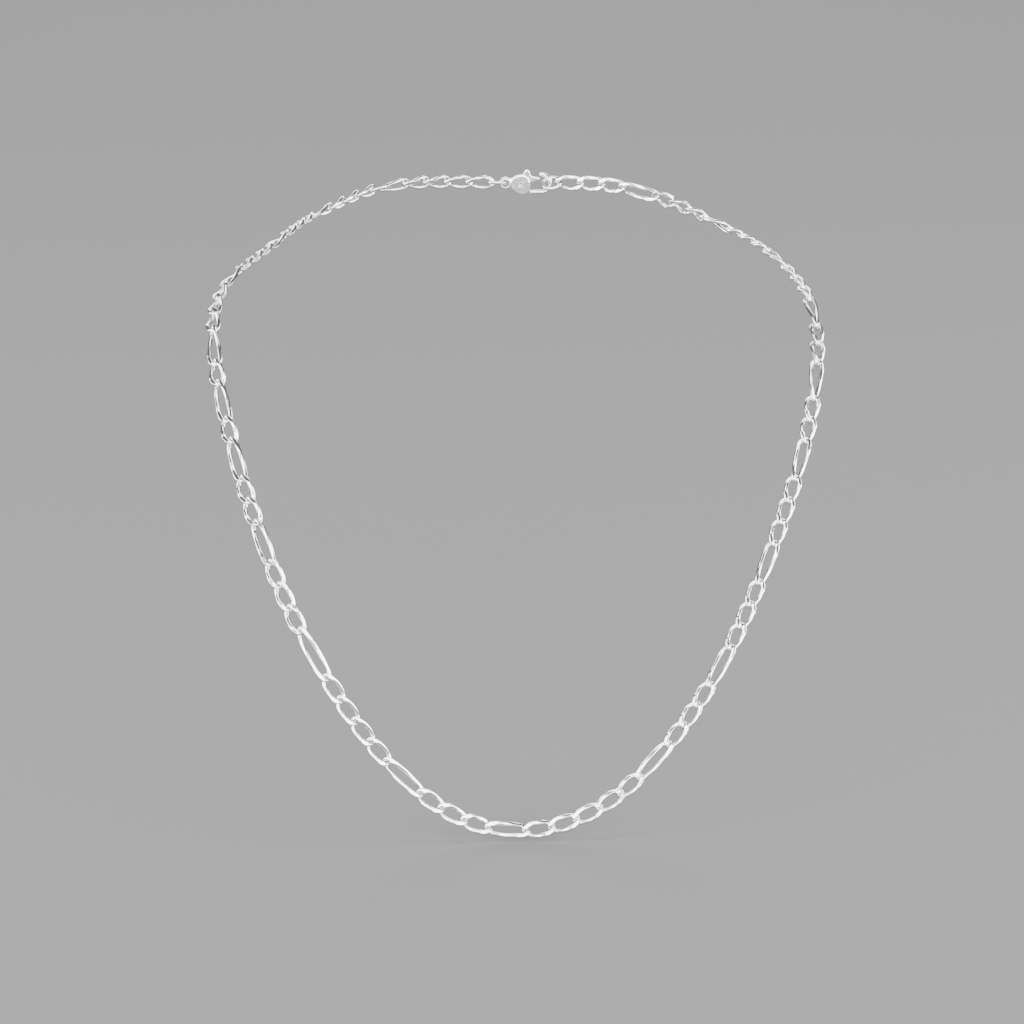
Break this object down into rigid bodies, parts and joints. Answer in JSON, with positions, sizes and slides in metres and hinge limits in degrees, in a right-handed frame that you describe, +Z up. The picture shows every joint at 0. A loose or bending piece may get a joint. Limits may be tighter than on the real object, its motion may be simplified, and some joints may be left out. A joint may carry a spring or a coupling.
{
  "type": "figaro chain necklace",
  "caption": "Figaro link chain necklace in polished silver with a lobster clasp, draped closed as worn round a neck.",
  "frame": {"origin": "centre of the clasp block's flat back, where it rests on the nape of the neck", "axes": "+Z up, the wearer faces -Y, and the eye end of the clasp points to -X"},
  "size_m": [0.1277, 0.1459, 0.1121],
  "materials": {
    "polished_silver": "polished sterling silver",
    "spring_steel": "plain stainless steel"
  },
  "bodies": {
    "clasp": {"clasp_body": "polished_silver", "clasp_pin": "spring_steel", "clasp_spring": "spring_steel"},
    "clasp_lever": {"clasp_lever": "polished_silver"},
    "eye_jump_ring": {"eye_jump_ring": "polished_silver"},
    "links_01_to_04": {"links_01_to_04": "polished_silver"},
    "links_05_to_08": {"links_05_to_08": "polished_silver"},
    "links_09_to_12": {"links_09_to_12": "polished_silver"},
    "links_13_to_16": {"links_13_to_16": "polished_silver"},
    "links_17_to_20": {"links_17_to_20": "polished_silver"},
    "link_21_long": {"link_21_long": "polished_silver"},
    "link_22_short": {"link_22_short": "polished_silver"},
    "link_23_long": {"link_23_long": "polished_silver"},
    "link_24_short": {"link_24_short": "polished_silver"},
    "link_25_long": {"link_25_long": "polished_silver"},
    "link_26_short": {"link_26_short": "polished_silver"},
    "link_27_short": {"link_27_short": "polished_silver"},
    "link_28_long": {"link_28_long": "polished_silver"},
    "link_29_short": {"link_29_short": "polished_silver"},
    "link_30_short": {"link_30_short": "polished_silver"},
    "link_31_short": {"link_31_short": "polished_silver"},
    "link_32_long": {"link_32_long": "polished_silver"},
    "link_33_short": {"link_33_short": "polished_silver"},
    "link_34_short": {"link_34_short": "polished_silver"},
    "link_35_short": {"link_35_short": "polished_silver"},
    "link_36_short": {"link_36_short": "polished_silver"},
    "link_37_long": {"link_37_long": "polished_silver"},
    "link_38_short": {"link_38_short": "polished_silver"},
    "link_39_short": {"link_39_short": "polished_silver"},
    "link_40_short": {"link_40_short": "polished_silver"},
    "link_41_long": {"link_41_long": "polished_silver"},
    "link_42_short": {"link_42_short": "polished_silver"},
    "link_43_short": {"link_43_short": "polished_silver"},
    "link_44_short": {"link_44_short": "polished_silver"},
    "link_45_short": {"link_45_short": "polished_silver"},
    "link_46_short": {"link_46_short": "polished_silver"},
    "link_47_long": {"link_47_long": "polished_silver"},
    "link_48_short": {"link_48_short": "polished_silver"},
    "link_49_short": {"link_49_short": "polished_silver"},
    "link_50_short": {"link_50_short": "polished_silver"},
    "link_51_long": {"link_51_long": "polished_silver"},
    "link_52_short": {"link_52_short": "polished_silver"},
    "link_53_short": {"link_53_short": "polished_silver"},
    "link_54_short": {"link_54_short": "polished_silver"},
    "link_55_long": {"link_55_long": "polished_silver"},
    "link_56_short": {"link_56_short": "polished_silver"},
    "link_57_short": {"link_57_short": "polished_silver"},
    "link_58_short": {"link_58_short": "polished_silver"},
    "link_59_long": {"link_59_long": "polished_silver"},
    "link_60_short": {"link_60_short": "polished_silver"},
    "link_61_short": {"link_61_short": "polished_silver"},
    "link_62_long": {"link_62_long": "polished_silver"},
    "link_63_short": {"link_63_short": "polished_silver"},
    "link_64_short": {"link_64_short": "polished_silver"},
    "link_65_long": {"link_65_long": "polished_silver"},
    "links_66_to_69": {"links_66_to_69": "polished_silver"},
    "links_70_to_73": {"links_70_to_73": "polished_silver"},
    "links_74_to_77": {"links_74_to_77": "polished_silver"},
    "links_78_to_80": {"links_78_to_80": "polished_silver"},
    "end_ring": {"end_ring": "polished_silver"}
  },
  "joints": [
    {"name": "clasp_lever_pivot", "type": "hinge", "parent": "clasp", "child": "clasp_lever", "pos_m": [0.0014, 0.001, -0.0003], "axis": [0, 1, 0], "range_deg": [0, 18], "stiffness_Nm_per_rad": 0.002, "deforming": ["clasp_spring"]},
    {"name": "eye_jump_ring_turn", "type": "hinge", "parent": "clasp", "child": "eye_jump_ring", "pos_m": [-0.00385, 0.0006, 0.00011], "axis": [-0.0234, -0.1736, -0.9845], "range_deg": [-45, 45]},
    {"name": "swing_ring_01", "type": "hinge", "parent": "eye_jump_ring", "child": "links_01_to_04", "pos_m": [-0.00529, 0.00029, 0.0002], "axis": [-0.1902, 0.8734, 0.4484], "range_deg": [-45, 45]},
    {"name": "fold_04_05", "type": "hinge", "parent": "links_01_to_04", "child": "links_05_to_08", "pos_m": [-0.02419, -0.00688, 0.00105], "axis": [-0.3496, 0.5951, -0.7236], "range_deg": [-22, 22]},
    {"name": "swing_08_09", "type": "hinge", "parent": "links_05_to_08", "child": "links_09_to_12", "pos_m": [-0.0405, -0.02423, -0.00175], "axis": [0.6087, -0.2294, -0.7595], "range_deg": [-16, 16]},
    {"name": "fold_12_13", "type": "hinge", "parent": "links_09_to_12", "child": "links_13_to_16", "pos_m": [-0.04902, -0.04678, -0.00404], "axis": [0.8193, -0.3214, 0.4748], "range_deg": [-26, 26]},
    {"name": "swing_16_17", "type": "hinge", "parent": "links_13_to_16", "child": "links_17_to_20", "pos_m": [-0.05727, -0.06931, -0.00778], "axis": [-0.5609, 0.0191, 0.8276], "range_deg": [-24, 24]},
    {"name": "fold_20_21", "type": "hinge", "parent": "links_17_to_20", "child": "link_21_long", "pos_m": [-0.06162, -0.09103, -0.01675], "axis": [-0.792, 0.3249, -0.517], "range_deg": [-21, 21]},
    {"name": "swing_21_22", "type": "hinge", "parent": "link_21_long", "child": "link_22_short", "pos_m": [-0.06074, -0.09805, -0.02238], "axis": [0.5122, 0.6107, -0.6039], "range_deg": [-15, 15]},
    {"name": "fold_22_23", "type": "hinge", "parent": "link_22_short", "child": "link_23_long", "pos_m": [-0.05989, -0.10173, -0.02578], "axis": [0.894, -0.1648, 0.4167], "range_deg": [-25, 25]},
    {"name": "swing_23_24", "type": "hinge", "parent": "link_23_long", "child": "link_24_short", "pos_m": [-0.05799, -0.10793, -0.03209], "axis": [-0.319, -0.7344, 0.599], "range_deg": [-19, 19]},
    {"name": "fold_24_25", "type": "hinge", "parent": "link_24_short", "child": "link_25_long", "pos_m": [-0.05677, -0.11128, -0.03571], "axis": [-0.9319, 0.0392, -0.3607], "range_deg": [-27, 27]},
    {"name": "swing_25_26", "type": "hinge", "parent": "link_25_long", "child": "link_26_short", "pos_m": [-0.0544, -0.11705, -0.04226], "axis": [0.2313, 0.7809, -0.5803], "range_deg": [-22, 22]},
    {"name": "fold_26_27", "type": "hinge", "parent": "link_26_short", "child": "link_27_short", "pos_m": [-0.05292, -0.12016, -0.046], "axis": [0.9292, 0.0083, 0.3695], "range_deg": [-26, 26]},
    {"name": "swing_27_28", "type": "hinge", "parent": "link_27_short", "child": "link_28_long", "pos_m": [-0.05135, -0.12315, -0.04979], "axis": [-0.2063, -0.8192, 0.5351], "range_deg": [-23, 23]},
    {"name": "fold_28_29", "type": "hinge", "parent": "link_28_long", "child": "link_29_short", "pos_m": [-0.04829, -0.12818, -0.05666], "axis": [-0.9141, -0.0268, -0.4047], "range_deg": [-25, 25]},
    {"name": "swing_29_30", "type": "hinge", "parent": "link_29_short", "child": "link_30_short", "pos_m": [-0.0464, -0.13079, -0.06058], "axis": [0.1831, 0.8694, -0.4589], "range_deg": [-23, 23]},
    {"name": "fold_30_31", "type": "hinge", "parent": "link_30_short", "child": "link_31_short", "pos_m": [-0.04436, -0.13319, -0.06457], "axis": [0.8932, 0.0448, 0.4474], "range_deg": [-24, 24]},
    {"name": "swing_31_32", "type": "hinge", "parent": "link_31_short", "child": "link_32_long", "pos_m": [-0.04214, -0.13529, -0.06863], "axis": [-0.1135, -0.935, 0.3359], "range_deg": [-24, 24]},
    {"name": "fold_32_33", "type": "hinge", "parent": "link_32_long", "child": "link_33_short", "pos_m": [-0.03702, -0.13825, -0.07728], "axis": [-0.8588, -0.0884, -0.5047], "range_deg": [-17, 17]},
    {"name": "swing_33_34", "type": "hinge", "parent": "link_33_short", "child": "link_34_short", "pos_m": [-0.03432, -0.13912, -0.0815], "axis": [-0.0134, 0.9826, -0.1851], "range_deg": [-21, 21]},
    {"name": "fold_34_35", "type": "hinge", "parent": "link_34_short", "child": "link_35_short", "pos_m": [-0.03148, -0.13975, -0.08567], "axis": [0.8161, 0.1356, 0.5618], "range_deg": [-27, 27]},
    {"name": "swing_35_36", "type": "hinge", "parent": "link_35_short", "child": "link_36_short", "pos_m": [-0.02847, -0.14023, -0.08973], "axis": [0.0739, -0.9824, 0.1714], "range_deg": [-21, 21]},
    {"name": "fold_36_37", "type": "hinge", "parent": "link_36_short", "child": "link_37_long", "pos_m": [-0.02525, -0.14067, -0.09362], "axis": [-0.7292, -0.2025, -0.6537], "range_deg": [-22, 22]},
    {"name": "swing_37_38", "type": "hinge", "parent": "link_37_long", "child": "link_38_short", "pos_m": [-0.01874, -0.14154, -0.09984], "axis": [-0.1084, 0.9644, -0.241], "range_deg": [0, 24]},
    {"name": "fold_38_39", "type": "hinge", "parent": "link_38_short", "child": "link_39_short", "pos_m": [-0.01465, -0.1418, -0.10283], "axis": [0.5197, 0.2972, 0.801], "range_deg": [-26, 26]},
    {"name": "swing_39_40", "type": "hinge", "parent": "link_39_short", "child": "link_40_short", "pos_m": [-0.0102, -0.14184, -0.10527], "axis": [0.1455, -0.9431, 0.2989], "range_deg": [-24, 0]},
    {"name": "fold_40_41", "type": "hinge", "parent": "link_40_short", "child": "link_41_long", "pos_m": [-0.00541, -0.14168, -0.10695], "axis": [-0.1853, -0.3575, -0.9154], "range_deg": [-19, 19]},
    {"name": "swing_41_42", "type": "hinge", "parent": "link_41_long", "child": "link_42_short", "pos_m": [0.00201, -0.14126, -0.10767], "axis": [-0.0469, 0.9292, -0.3666], "range_deg": [0, 24]},
    {"name": "fold_42_43", "type": "hinge", "parent": "link_42_short", "child": "link_43_short", "pos_m": [0.00703, -0.14097, -0.107], "axis": [-0.2234, 0.3571, 0.907], "range_deg": [-24, 24]},
    {"name": "swing_43_44", "type": "hinge", "parent": "link_43_short", "child": "link_44_short", "pos_m": [0.01187, -0.14039, -0.10558], "axis": [0.0247, -0.9287, 0.37], "range_deg": [-24, 0]},
    {"name": "fold_44_45", "type": "hinge", "parent": "link_44_short", "child": "link_45_short", "pos_m": [0.01641, -0.13935, -0.10358], "axis": [0.5063, -0.3015, -0.8079], "range_deg": [-21, 21]},
    {"name": "swing_45_46", "type": "hinge", "parent": "link_45_short", "child": "link_46_short", "pos_m": [0.02056, -0.13773, -0.10113], "axis": [-0.1338, 0.8957, -0.4241], "range_deg": [0, 24]},
    {"name": "fold_46_47", "type": "hinge", "parent": "link_46_short", "child": "link_47_long", "pos_m": [0.0243, -0.1357, -0.09837], "axis": [-0.6969, 0.22, 0.6826], "range_deg": [-25, 25]},
    {"name": "swing_47_48", "type": "hinge", "parent": "link_47_long", "child": "link_48_short", "pos_m": [0.03023, -0.1316, -0.09291], "axis": [0.1815, -0.8634, 0.4708], "range_deg": [-24, 0]},
    {"name": "fold_48_49", "type": "hinge", "parent": "link_48_short", "child": "link_49_short", "pos_m": [0.03324, -0.12912, -0.08965], "axis": [0.7973, -0.1521, -0.5841], "range_deg": [-27, 27]},
    {"name": "swing_49_50", "type": "hinge", "parent": "link_49_short", "child": "link_50_short", "pos_m": [0.03605, -0.12657, -0.08628], "axis": [-0.1947, 0.8515, -0.4869], "range_deg": [-23, 23]},
    {"name": "fold_50_51", "type": "hinge", "parent": "link_50_short", "child": "link_51_long", "pos_m": [0.03869, -0.12396, -0.08281], "axis": [-0.8446, 0.1025, 0.5255], "range_deg": [-27, 27]},
    {"name": "swing_51_52", "type": "hinge", "parent": "link_51_long", "child": "link_52_short", "pos_m": [0.04297, -0.11923, -0.07639], "axis": [0.2109, -0.8482, 0.4859], "range_deg": [-24, 0]},
    {"name": "fold_52_53", "type": "hinge", "parent": "link_52_short", "child": "link_53_short", "pos_m": [0.04513, -0.11655, -0.07266], "axis": [0.8833, -0.0333, -0.4676], "range_deg": [-27, 27]},
    {"name": "swing_53_54", "type": "hinge", "parent": "link_53_short", "child": "link_54_short", "pos_m": [0.04716, -0.11385, -0.06886], "axis": [-0.2364, 0.8457, -0.4785], "range_deg": [0, 24]},
    {"name": "fold_54_55", "type": "hinge", "parent": "link_54_short", "child": "link_55_long", "pos_m": [0.04908, -0.11113, -0.06503], "axis": [-0.8948, -0.0189, 0.4461], "range_deg": [-26, 26]},
    {"name": "swing_55_56", "type": "hinge", "parent": "link_55_long", "child": "link_56_short", "pos_m": [0.05228, -0.10619, -0.05815], "axis": [0.2814, -0.832, 0.4782], "range_deg": [-24, 24]},
    {"name": "fold_56_57", "type": "hinge", "parent": "link_56_short", "child": "link_57_short", "pos_m": [0.05396, -0.10335, -0.05429], "axis": [0.8955, 0.0769, -0.4384], "range_deg": [-26, 26]},
    {"name": "swing_57_58", "type": "hinge", "parent": "link_57_short", "child": "link_58_short", "pos_m": [0.05556, -0.10044, -0.05045], "axis": [-0.3307, 0.8068, -0.4896], "range_deg": [-24, 24]},
    {"name": "fold_58_59", "type": "hinge", "parent": "link_58_short", "child": "link_59_long", "pos_m": [0.05707, -0.09743, -0.04664], "axis": [-0.8885, -0.1327, 0.4392], "range_deg": [-24, 24]},
    {"name": "swing_59_60", "type": "hinge", "parent": "link_59_long", "child": "link_60_short", "pos_m": [0.05943, -0.09185, -0.03992], "axis": [0.4124, -0.7586, 0.5044], "range_deg": [-24, 24]},
    {"name": "fold_60_61", "type": "hinge", "parent": "link_60_short", "child": "link_61_short", "pos_m": [0.06055, -0.08864, -0.03615], "axis": [0.8626, 0.2407, -0.445], "range_deg": [-24, 24]},
    {"name": "swing_61_62", "type": "hinge", "parent": "link_61_short", "child": "link_62_long", "pos_m": [0.06148, -0.08533, -0.03241], "axis": [-0.5241, 0.6762, -0.5177], "range_deg": [-24, 24]},
    {"name": "fold_62_63", "type": "hinge", "parent": "link_62_long", "child": "link_63_short", "pos_m": [0.06264, -0.07904, -0.02601], "axis": [-0.8021, -0.35, 0.4838], "range_deg": [-20, 20]},
    {"name": "swing_63_64", "type": "hinge", "parent": "link_63_short", "child": "link_64_short", "pos_m": [0.06295, -0.07521, -0.02269], "axis": [0.6297, -0.4982, 0.5961], "range_deg": [-23, 23]},
    {"name": "fold_64_65", "type": "hinge", "parent": "link_64_short", "child": "link_65_long", "pos_m": [0.06296, -0.07111, -0.01971], "axis": [0.7704, 0.369, -0.5199], "range_deg": [-19, 19]},
    {"name": "swing_65_66", "type": "hinge", "parent": "link_65_long", "child": "links_66_to_69", "pos_m": [0.062, -0.06314, -0.01557], "axis": [-0.6028, 0.2361, -0.7622], "range_deg": [-18, 18]},
    {"name": "fold_69_70", "type": "hinge", "parent": "links_66_to_69", "child": "links_70_to_73", "pos_m": [0.05453, -0.04117, -0.00867], "axis": [-0.7534, -0.4646, 0.4653], "range_deg": [-22, 22]},
    {"name": "swing_73_74", "type": "hinge", "parent": "links_70_to_73", "child": "links_74_to_77", "pos_m": [0.04186, -0.02094, -0.00448], "axis": [0.6282, 0.3243, 0.7072], "range_deg": [-24, 24]},
    {"name": "fold_77_78", "type": "hinge", "parent": "links_74_to_77", "child": "links_78_to_80", "pos_m": [0.02419, -0.00511, -0.00002], "axis": [-0.2038, -0.1372, -0.9693], "range_deg": [-30, 30]},
    {"name": "end_ring_turn", "type": "hinge", "parent": "links_78_to_80", "child": "end_ring", "pos_m": [0.00845, 0.00058, 0.0001], "axis": [-0.1482, -0.4945, 0.8565], "range_deg": [-180, 180]}
  ]
}
